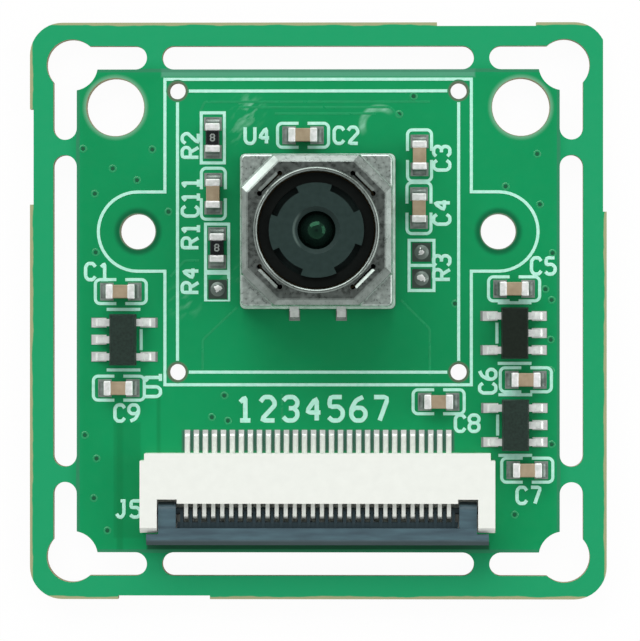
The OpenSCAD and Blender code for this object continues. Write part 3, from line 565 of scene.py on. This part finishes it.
def cover_finish():
    material, tree, shader, in_mm = start_material("nickel_plated_steel")
    patches = grain(tree, in_mm, 1.4, detail=4.0)
    speckle = grain(tree, in_mm, 0.22, detail=4.0)
    tone = add_node(tree, "ShaderNodeMath", {"operation": "MULTIPLY"}, {0: speckle, 1: SPECKLE_SHARE})
    tone = add_node(tree, "ShaderNodeMath", {"operation": "MULTIPLY_ADD"},
                    {0: patches, 1: PATCH_SHARE, 2: tone.outputs[0]})
    colour = blend_colours(tree, between(tree, tone.outputs[0], 0.0, 1.0), *SHADED_TOP_STEEL)
    split = add_node(tree, "ShaderNodeSeparateXYZ", None, {0: in_mm})
    below = add_node(tree, "ShaderNodeMath", {"operation": "LESS_THAN"},
                     {0: split.outputs[2], 1: cover_high.z / MM - LEDGE_DEPTH})
    # the ledges' paler shades are painted light
    colour = blend_colours(tree, below.outputs[0], colour,
                           blend_colours(tree, between(tree, speckle, 0.0, 1.0), *LIT_LEDGE_STEEL))
    wall = add_node(tree, "ShaderNodeMath", {"operation": "LESS_THAN"},
                    {0: split.outputs[2], 1: cover_high.z / MM - WALL_DEPTH})
    colour = blend_colours(tree, wall.outputs[0], colour,
                           blend_colours(tree, between(tree, patches, 0.0, 1.0), *WALL_SHADES))
    tree.links.new(colour, shader.inputs["Base Color"])
    # rubbed bare steel on the top, a duller plating on the ledges and walls
    metal = add_node(tree, "ShaderNodeMath", {"operation": "MULTIPLY_ADD"},
                     {0: below.outputs[0], 1: -DULLER_PLATING, 2: 1.0})
    tree.links.new(metal.outputs[0], shader.inputs["Metallic"])
    tree.links.new(between(tree, speckle, 0.24, 0.38), shader.inputs["Roughness"])
    flat = add_node(tree, "ShaderNodeMath", {"operation": "SUBTRACT"}, {0: 1.0, 1: wall.outputs[0]})
    dents = add_node(tree, "ShaderNodeMath", {"operation": "MULTIPLY"}, {0: speckle, 1: flat.outputs[0]})
    lift(tree, shader, dents.outputs[0], 3.0)
    return material


finish_with("focus_cover", cover_finish())

# %% [markdown]
# ## Lens barrel and lenses
# The barrel is moulded in a dark polymer and its front face is matt. The lenses are clear
# optical polymer with a thin coating that reflects green.

# %% Barrel and lenses
barrel = plain_finish("moulded_dark_polycarbonate", ("#20312e", "#243633"), (0.42, 0.5), 0.3, 2.0,
                      specular=0.25)
finish_with("lens_barrel", barrel)
# A painted highlight makes a part of the edge round the lens paler: that edge's radius, the
# half width of the highlight, and how far left of the axis it starts and is whole.
EDGE_HIGHLIGHT_RADIUS = 1.24
EDGE_HIGHLIGHT_HALF = 0.11
EDGE_HIGHLIGHT_SIDE = (-0.75, -1.15)
EDGE_HIGHLIGHT_SHADE, EDGE_HIGHLIGHT_SHARE = "#5a6d67", 0.8


def paint_barrel_highlight(material):
    """Paints a highlight on a part of the edge round the lens."""
    tree = material.node_tree
    shader = tree.nodes["Principled BSDF"]
    place = add_node(tree, "ShaderNodeTexCoord")
    away = add_node(tree, "ShaderNodeVectorMath", {"operation": "SUBTRACT"},
                    {0: place.outputs["Object"], 1: LENS_AXIS})
    away = add_node(tree, "ShaderNodeVectorMath", {"operation": "MULTIPLY"},
                    {0: away.outputs[0], 1: (1 / MM, 1 / MM, 0)})
    length = add_node(tree, "ShaderNodeVectorMath", {"operation": "LENGTH"}, {0: away.outputs[0]})
    off = add_node(tree, "ShaderNodeMath", {"operation": "SUBTRACT"},
                   {0: length.outputs["Value"], 1: EDGE_HIGHLIGHT_RADIUS})
    off = add_node(tree, "ShaderNodeMath", {"operation": "ABSOLUTE"}, {0: off.outputs[0]})
    on_edge = add_node(tree, "ShaderNodeMapRange", {"interpolation_type": "SMOOTHSTEP"},
                       {"Value": off.outputs[0], "From Min": EDGE_HIGHLIGHT_HALF, "From Max": 0.0})
    split = add_node(tree, "ShaderNodeSeparateXYZ", None, {0: away.outputs[0]})
    on_side = add_node(tree, "ShaderNodeMapRange", {"interpolation_type": "SMOOTHSTEP"},
                       {"Value": split.outputs[0], "From Min": EDGE_HIGHLIGHT_SIDE[0], "From Max": EDGE_HIGHLIGHT_SIDE[1],
                        "To Max": EDGE_HIGHLIGHT_SHARE})
    share = add_node(tree, "ShaderNodeMath", {"operation": "MULTIPLY"},
                     {0: on_edge.outputs[0], 1: on_side.outputs[0]})
    before_highlight = shader.inputs["Base Color"].links[0].from_socket
    colour = blend_colours(tree, share.outputs[0], before_highlight, EDGE_HIGHLIGHT_SHADE)
    tree.links.new(colour, shader.inputs["Base Color"])


paint_barrel_highlight(barrel)

# The front lens looks more strongly curved than it is, because the surfaces behind it
# mirror the lamps too: radius of that curve in millimetres.
GLINT_RADIUS = 1.3
# the lenses' dark base colour is painted shade, standing for the dark inside of the camera seen through them
LENS_PAINTED_DARK_SHADES = ("#21352e", "#1c302a")
LENS_COATING = "#6fd8a0"
LENS_INDEX = 1.54
LENS_CLARITY = 0.6


def lens_finish(name, specular, curved):
    """A lens's polymer: how much its coating reflects, and whether it looks more curved."""
    material, tree, shader, in_mm = start_material(name)
    smooth = grain(tree, in_mm, 2.0)
    tree.links.new(blend_colours(tree, smooth, *LENS_PAINTED_DARK_SHADES), shader.inputs["Base Color"])
    tree.links.new(between(tree, smooth, 0.05, 0.08), shader.inputs["Roughness"])
    shader.inputs["IOR"].default_value = LENS_INDEX
    shader.inputs["Transmission Weight"].default_value = LENS_CLARITY
    shader.inputs["Specular IOR Level"].default_value = specular
    shader.inputs["Specular Tint"].default_value = linear(LENS_COATING)
    if curved:
        away = add_node(tree, "ShaderNodeVectorMath", {"operation": "SUBTRACT"},
                        {0: in_mm, 1: LENS_AXIS / MM})
        away = add_node(tree, "ShaderNodeVectorMath", {"operation": "MULTIPLY"},
                        {0: away.outputs[0], 1: (1, 1, 0)})
        square = add_node(tree, "ShaderNodeVectorMath", {"operation": "DOT_PRODUCT"},
                          {0: away.outputs[0], 1: away.outputs[0]})
        height = add_node(tree, "ShaderNodeMath", {"operation": "MULTIPLY"},
                          {0: square.outputs["Value"], 1: -0.5 / GLINT_RADIUS})
        lift(tree, shader, height.outputs[0], 1000.0)
    return material


front_glass = lens_finish("coated_optical_polymer", 0.5, True)
inner_glass = lens_finish("bloomed_optical_polymer", 0.0, False)
finish_with("lens_1", front_glass)
for n in range(2, 6):
    finish_with(f"lens_{n}", inner_glass)
finish_with("infrared_filter", inner_glass)

# %% [markdown]
# ## Flat strokes
# Screen-printed letters and copper tracks are the same kind of shape: a line of constant
# width that lies flat. A curve with a round bevel gives the line its width. A curve gets
# thin at a sharp corner, so the corners are rounded first. The tube is turned into a
# mesh, and then flattened to a thin strip.

# %% Flat strokes
CROSSING_STEP = 0.0001


def keep(bm, name, material, body):
    """Turns a bmesh into a finished piece that rides on a body."""
    bmesh.ops.recalc_face_normals(bm, faces=bm.faces)
    mesh = bpy.data.meshes.new(name)
    bm.to_mesh(mesh)
    bm.free()
    mesh.materials.append(material)
    piece = bpy.data.objects.new(name, mesh)
    scene.collection.objects.link(piece)
    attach(piece, body)
    print(name, len(mesh.polygons), "faces")
    return piece


def softened(path, reach):
    """Rounds the corners of a path, so that a line keeps its width round them."""
    closed = path[0] == path[-1]
    points = [Vector(p) for p in (path[:-1] if closed else path)]
    rounded = []
    for i, corner in enumerate(points):
        if not closed and i in (0, len(points) - 1):
            rounded.append(corner)
            continue
        before, after = points[i - 1] - corner, points[(i + 1) % len(points)] - corner
        near = min(reach, 0.3 * before.length, 0.3 * after.length)
        before, after = before.normalized() * near, after.normalized() * near
        rounded += [corner + 1.5 * before, corner + before, corner + (before + after) / 4,
                    corner + after, corner + 1.5 * after]
    return rounded, closed


def flat_strokes(name, paths, width, height, material, level=BOARD_TOP):
    """Lines of one width and height, in millimetres, lying on the board or another level."""
    curve = bpy.data.curves.new(name + "_lines", "CURVE")
    curve.dimensions = "3D"
    curve.bevel_depth = width * MM / 2
    curve.bevel_resolution = 1
    curve.use_fill_caps = True
    for path in paths:
        points, closed = softened(path, width)
        spline = curve.splines.new("POLY")
        spline.points.add(len(points) - 1)
        spline.use_cyclic_u = closed
        spline.use_smooth = False
        for i, (point, (x, y)) in enumerate(zip(spline.points, points)):
            # each point lies a hair higher, so that lines that cross don't share a face
            point.co = (x * MM, y * MM, i * CROSSING_STEP * MM * width / height, 1.0)
    lines = bpy.data.objects.new(name + "_lines", curve)
    bm = bmesh.new()
    bm.from_mesh(bpy.data.meshes.new_from_object(lines))
    bpy.data.objects.remove(lines)
    bmesh.ops.remove_doubles(bm, verts=bm.verts, dist=1e-7)
    bmesh.ops.scale(bm, vec=(1.0, 1.0, height / width), verts=bm.verts)
    bmesh.ops.translate(bm, vec=(0.0, 0.0, level + height * MM / 2), verts=bm.verts)
    return keep(bm, name, material, ROOT)


# %% [markdown]
# ## Adhesive
# A thin bead of pale adhesive runs round the foot of the steel cover, on the edge of the
# holder. It is a low four-sided slope with rounded corners.

# %% Adhesive bead
adhesive = plain_finish("acrylic_adhesive", ("#bcd6c8", "#93ad9f"), (0.3, 0.45), 0.5, 6.0)
BEAD_HEIGHT = 0.17
BEAD_INNER = 0.005
BEAD_EDGE = 0.01
BEAD_CORNER = 0.25


def adhesive_bead():
    holder_low, holder_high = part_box("sensor_holder")
    outer = (holder_high.x - holder_low.x) / 2 / MM - BEAD_EDGE
    inner = (cover_high.x - cover_low.x) / 2 / MM + BEAD_INNER
    place = Matrix.Translation((LENS_AXIS.x, LENS_AXIS.y, holder_high.z + BEAD_HEIGHT * MM / 2))
    bm = bmesh.new()
    bmesh.ops.create_cone(bm, cap_ends=False, segments=4, radius1=outer * math.sqrt(2) * MM,
                          radius2=inner * math.sqrt(2) * MM, depth=BEAD_HEIGHT * MM,
                          matrix=place @ Matrix.Rotation(math.radians(45), 4, "Z"))
    corners = [e for e in bm.edges if abs(e.verts[0].co.z - e.verts[1].co.z) > BEAD_HEIGHT * MM / 2]
    bmesh.ops.bevel(bm, geom=corners, offset=BEAD_CORNER * MM, segments=4, profile=0.5, affect="EDGES")
    keep(bm, "adhesive_bead", adhesive, ROOT)


adhesive_bead()

# %% [markdown]
# ## Lettering
# Circuit boards are lettered by machine in single strokes, so each character is a few
# lines on a small grid. The marks here are a plain numbering of this part's own: C for
# capacitors, R for resistors, U for the chips and J for the connector. The line below the
# camera is only a row of counting numbers, in larger and bolder strokes. Each resistor
# has one plain figure on its black glass.

# %% Lettering
# each character's strokes, on a grid six units wide and ten high
GLYPH_WIDTH, GLYPH_HEIGHT = 6, 10
GLYPHS = {
    "C": [[(6, 8), (4.5, 10), (1.5, 10), (0, 8), (0, 2), (1.5, 0), (4.5, 0), (6, 2)]],
    "R": [[(0, 0), (0, 10), (4.5, 10), (6, 8.6), (6, 6.4), (4.5, 5), (0, 5)], [(3, 5), (6, 0)]],
    "U": [[(0, 10), (0, 2), (1.5, 0), (4.5, 0), (6, 2), (6, 10)]],
    "J": [[(2.5, 10), (5.5, 10)], [(4.5, 10), (4.5, 2), (3.2, 0), (1.4, 0), (0, 2)]],
    "1": [[(1, 7.8), (3.2, 10), (3.2, 0)], [(1, 0), (5.4, 0)]],
    "2": [[(0, 8), (1.5, 10), (4.5, 10), (6, 8), (6, 6.4), (0, 0), (6, 0)]],
    "3": [[(0, 8.5), (1.5, 10), (4.5, 10), (6, 8.4), (6, 6.6), (4.5, 5.2), (2.4, 5.2)],
          [(4.5, 5.2), (6, 3.8), (6, 1.6), (4.5, 0), (1.5, 0), (0, 1.5)]],
    "4": [[(4.6, 0), (4.6, 10), (0, 3.4), (6.2, 3.4)]],
    "5": [[(5.6, 10), (0.6, 10), (0.3, 5.8), (4.2, 6), (6, 4.2), (6, 1.8), (4.4, 0), (1.5, 0), (0, 1.4)]],
    "6": [[(5, 10), (2, 8.6), (0, 5), (0, 1.8), (1.5, 0), (4.5, 0), (6, 1.8), (6, 3.8), (4.5, 5.4),
           (1.5, 5.4), (0, 3.8)]],
    "7": [[(0, 10), (6, 10), (2.4, 0)]],
    "8": [[(1.5, 5.2), (0, 6.6), (0, 8.5), (1.5, 10), (4.5, 10), (6, 8.5), (6, 6.6), (4.5, 5.2),
           (1.5, 5.2), (0, 3.8), (0, 1.5), (1.5, 0), (4.5, 0), (6, 1.5), (6, 3.8), (4.5, 5.2)]],
    "9": [[(1, 0), (4, 1.4), (6, 5), (6, 8.2), (4.5, 10), (1.5, 10), (0, 8.2), (0, 6.2), (1.5, 4.6),
           (4.5, 4.6), (6, 6.2)]],
}
LETTER_HEIGHT = 0.90
LETTER_STEP = 0.77
INK_WIDTH = 0.19
BOLD_WIDTH = 0.25
MARK_HEIGHT = 0.36
MARK_WIDTH = 0.075
RESISTOR_MARK = "8"
INK_HEIGHT = 0.018
# what is written, the middle of the word in millimetres, and its turn in degrees
LABELS = [
    ("C11", -7.09, 6.30, 90), ("C2", 1.55, 9.74, 0), ("C3", 6.86, 8.46, 90), ("C4", 6.86, 5.46, 90),
    ("C5", 12.49, 2.49, 0), ("C6", 9.41, -3.90, 90), ("C7", 11.69, -10.23, 0), ("C8", 8.27, -6.23, 0),
    ("C9", -10.62, -5.67, 0), ("C1", -12.25, 2.18, 0), ("R1", -7.09, 4.16, 90), ("R2", -7.09, 9.18, 90),
    ("R3", 6.86, 2.40, 90), ("R4", -7.09, 1.68, 90), ("U4", -3.39, 9.74, 0), ("U1", -9.20, -4.10, 90),
    ("J5", -10.53, -11.0, 0),
]
# the same for the counting numbers, and then their height and step
COUNTING = ("1234567", -0.28, -5.43, 0, 1.30, 1.26)


def letter_paths(word, x, y, turn, height=LETTER_HEIGHT, step=LETTER_STEP):
    """The strokes of a word, centred on a place and turned about it."""
    scale = height / GLYPH_HEIGHT
    cos, sin = math.cos(math.radians(turn)), math.sin(math.radians(turn))
    start = -((len(word) - 1) * step + GLYPH_WIDTH * scale) / 2
    paths = []
    for i, letter in enumerate(word):
        for stroke in GLYPHS[letter]:
            flat = [(start + i * step + px * scale, py * scale - height / 2) for px, py in stroke]
            paths.append([(x + u * cos - v * sin, y + u * sin + v * cos) for u, v in flat])
    return paths


flat_strokes("part_lettering", [p for label in LABELS for p in letter_paths(*label)],
             INK_WIDTH, INK_HEIGHT, ink)
flat_strokes("counting_numbers", letter_paths(*COUNTING), BOLD_WIDTH, INK_HEIGHT, ink)
for n in (1, 2):
    low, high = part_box(f"resistor_{n}")
    middle = (low + high) / 2 / MM
    flat_strokes(f"resistor_{n}_mark", letter_paths(RESISTOR_MARK, middle.x, middle.y, 0, MARK_HEIGHT),
                 MARK_WIDTH, INK_HEIGHT / 3, mark_ink, high.z)

# %% [markdown]
# ## Copper tracks and vias
# Tracks are copper, about a hundredth of a millimetre high. The lacquer runs over them, so
# they show as slightly paler lines. Vias are small plated holes that join the two sides.
# The lacquer closes them, and each is a low ring with a dimple, whose darker colour is painted shade.

# %% Tracks and vias
mask_over_track = plain_finish("solder_mask_over_copper", ("#1f9c62", "#1a945b"), (0.26, 0.34), 0.5, 3.0)
via_dimple_shade = plain_finish("solder_mask_with_painted_shade_in_a_via", ("#12613f", "#0f5636"), (0.3, 0.4), 0.3, 3.0)
TRACKS = [
    [(-6.6, 10.9), (-6.3, 11.6), (6.2, 11.6)],
    [(-4.4, 11.3), (4.0, 11.3), (4.6, 10.7)],
    [(-2.4, 10.95), (3.2, 10.95)],
    [(-4.5, 0.2), (-6.4, -1.6), (-6.4, -3.4)],
    [(4.6, 0.6), (6.2, -1.0), (6.2, -3.6)],
    [(-8.2, 1.9), (-7.4, 2.8), (-6.6, 2.8)],
    [(-2.0, -4.6), (-2.0, -6.2)],
]
VIAS = [
    (-11.4, 7.9), (-10.05, 7.25), (-13.05, 9.0), (-12.4, 6.5), (-9.2, 8.95), (-8.3, 5.5), (-12.35, 3.25),
    (-12.3, -8.2), (-12.45, -10.4), (-11.7, -12.2), (-12.95, -6.9), (10.4, 6.9), (12.3, 5.9), (12.15, 8.7),
    (13.0, 3.2), (12.6, 1.2), (12.95, 0.6), (12.9, -1.6), (12.9, -3.3), (9.1, -10.2), (10.9, -11.3),
    (8.7, -11.9), (-5.2, -4.7), (-5.9, -5.9), (4.5, 10.9), (5.3, 11.9), (-5.0, -6.1), (7.6, 0.4),
    (12.95, -7.4),
]
VIA_RING = 0.22
VIA_HOLE = 0.12
VIA_HEIGHT = 0.016
VIA_SIDES = 14
VIA_TOP = 0.85 * VIA_RING
VIA_DIMPLE = 0.7 * VIA_HEIGHT
TRACK_WIDTH = 0.13
TRACK_HEIGHT = 0.008


def via_rings():
    """Every via as a low ring with a dimple, all in one piece."""
    bm = bmesh.new()
    for x, y in VIAS:
        place = Matrix.Translation((x * MM, y * MM, BOARD_TOP + VIA_HEIGHT * MM / 2))
        made = bmesh.ops.create_cone(bm, cap_ends=True, segments=VIA_SIDES, radius1=VIA_RING * MM,
                                     radius2=VIA_TOP * MM, depth=VIA_HEIGHT * MM, matrix=place)
        top = max({f for v in made["verts"] for f in v.link_faces}, key=lambda f: f.calc_center_median().z)
        bmesh.ops.inset_region(bm, faces=[top], thickness=(VIA_TOP - VIA_HOLE) * MM)
        bmesh.ops.translate(bm, vec=(0, 0, -VIA_DIMPLE * MM), verts=top.verts)
        # the dimple gets the darker colour: painted shade
        top.material_index = 1
    piece = keep(bm, "vias", mask_over_track, ROOT)
    piece.data.materials.append(via_dimple_shade)


flat_strokes("copper_tracks", TRACKS, TRACK_WIDTH, TRACK_HEIGHT, mask_over_track)
via_rings()

# %% [markdown]
# ## Floor, lights and surroundings
# The board lies on a plain white floor. One wide soft lamp stands behind it, a weaker one
# to its right, and the surroundings are brighter near the horizon than high up, as
# between two softboxes. Straight overhead hangs the dark camera, so metal that faces up
# looks grey, and its bevels catch the lamps. The floor is white for the camera whatever
# the lamps do, and it keeps a little of the board's shadow.

# %% Floor
# The floor lies a hair below the board, so that the two don't share a plane.
FLOOR_GAP = 0.02 * MM
FLOOR_SIZE = 1.0
FLOOR_SHADE = "#f7f7f5"
FLOOR_ROUGHNESS = 0.9
FLOOR_GLOW = 0.96


def white_floor():
    """Paper that the camera sees as white, with a little of the shadow left on it."""
    material, tree, shader, _ = start_material("white_paper_floor")
    shader.inputs["Base Color"].default_value = linear(FLOOR_SHADE)
    shader.inputs["Roughness"].default_value = FLOOR_ROUGHNESS
    path = add_node(tree, "ShaderNodeLightPath")
    seen = add_node(tree, "ShaderNodeMath", {"operation": "MAXIMUM"},
                    {0: path.outputs["Is Camera Ray"], 1: path.outputs["Is Glossy Ray"]})
    seen = add_node(tree, "ShaderNodeMath", {"operation": "MAXIMUM"},
                    {0: seen.outputs[0], 1: path.outputs["Is Transmission Ray"]})
    share = add_node(tree, "ShaderNodeMath", {"operation": "MULTIPLY"}, {0: seen.outputs[0], 1: FLOOR_GLOW})
    white = add_node(tree, "ShaderNodeEmission", None, {"Color": (1, 1, 1, 1), "Strength": 1.0})
    both = add_node(tree, "ShaderNodeMixShader", None,
                    {0: share.outputs[0], 1: shader.outputs[0], 2: white.outputs[0]})
    # from below the floor is clear, so that the underside can be looked at
    side = add_node(tree, "ShaderNodeNewGeometry")
    clear = add_node(tree, "ShaderNodeBsdfTransparent")
    either = add_node(tree, "ShaderNodeMixShader", None,
                      {0: side.outputs["Backfacing"], 1: both.outputs[0], 2: clear.outputs[0]})
    tree.links.new(either.outputs[0], tree.nodes["Material Output"].inputs["Surface"])
    return material


bm = bmesh.new()
bmesh.ops.create_grid(bm, x_segments=1, y_segments=1, size=FLOOR_SIZE)
bmesh.ops.translate(bm, vec=(0, 0, cad_box[0].z - FLOOR_GAP), verts=bm.verts)
floor_mesh = bpy.data.meshes.new("floor")
bm.to_mesh(floor_mesh)
bm.free()
floor_mesh.materials.append(white_floor())
floor = bpy.data.objects.new("floor", floor_mesh)
scene.collection.objects.link(floor)

# %% Lights
WORLD_HORIZON = 1.0
WORLD_HIGH = 0.42
WORLD_OVERHEAD = 0.06


def softbox(name, place, width, height, watts):
    """A rectangular area lamp that faces the middle of the board."""
    lamp = bpy.data.lights.new(name, "AREA")
    lamp.shape = "RECTANGLE"
    lamp.size = width
    lamp.size_y = height
    lamp.energy = watts
    holder = bpy.data.objects.new(name, lamp)
    holder.location = place
    holder.rotation_euler = (-Vector(place)).to_track_quat("-Z", "Y").to_euler()
    scene.collection.objects.link(holder)


softbox("softbox_behind", (-0.12, 0.40, 0.30), 0.66, 0.28, 1.9)
softbox("softbox_beside", (0.43, 0.04, 0.30), 0.50, 0.24, 0.7)

world = bpy.data.worlds.new("studio")
scene.world = world
world.use_nodes = True
tree = world.node_tree
direction = add_node(tree, "ShaderNodeTexCoord")
upward = add_node(tree, "ShaderNodeSeparateXYZ", None, {0: direction.outputs["Generated"]})
strength = add_node(tree, "ShaderNodeMapRange", None,
                    {"Value": upward.outputs[2], "From Min": 0.1, "From Max": 0.9,
                     "To Min": WORLD_HORIZON, "To Max": WORLD_HIGH})
overhead = add_node(tree, "ShaderNodeMapRange", {"interpolation_type": "SMOOTHSTEP"},
                    {"Value": upward.outputs[2], "From Min": 0.9, "From Max": 0.99,
                     "To Min": WORLD_HORIZON, "To Max": WORLD_OVERHEAD})
strength = add_node(tree, "ShaderNodeMath", {"operation": "MINIMUM"},
                    {0: strength.outputs[0], 1: overhead.outputs[0]})
seen = add_node(tree, "ShaderNodeLightPath")
strength = add_node(tree, "ShaderNodeMath", {"operation": "MAXIMUM"},
                    {0: strength.outputs[0], 1: seen.outputs["Is Camera Ray"]})
tree.links.new(strength.outputs[0], tree.nodes["Background"].inputs["Strength"])
tree.nodes["Background"].inputs["Color"].default_value = (1, 1, 1, 1)
scene.view_settings.view_transform = "Standard"
print("two softboxes and a graded world")
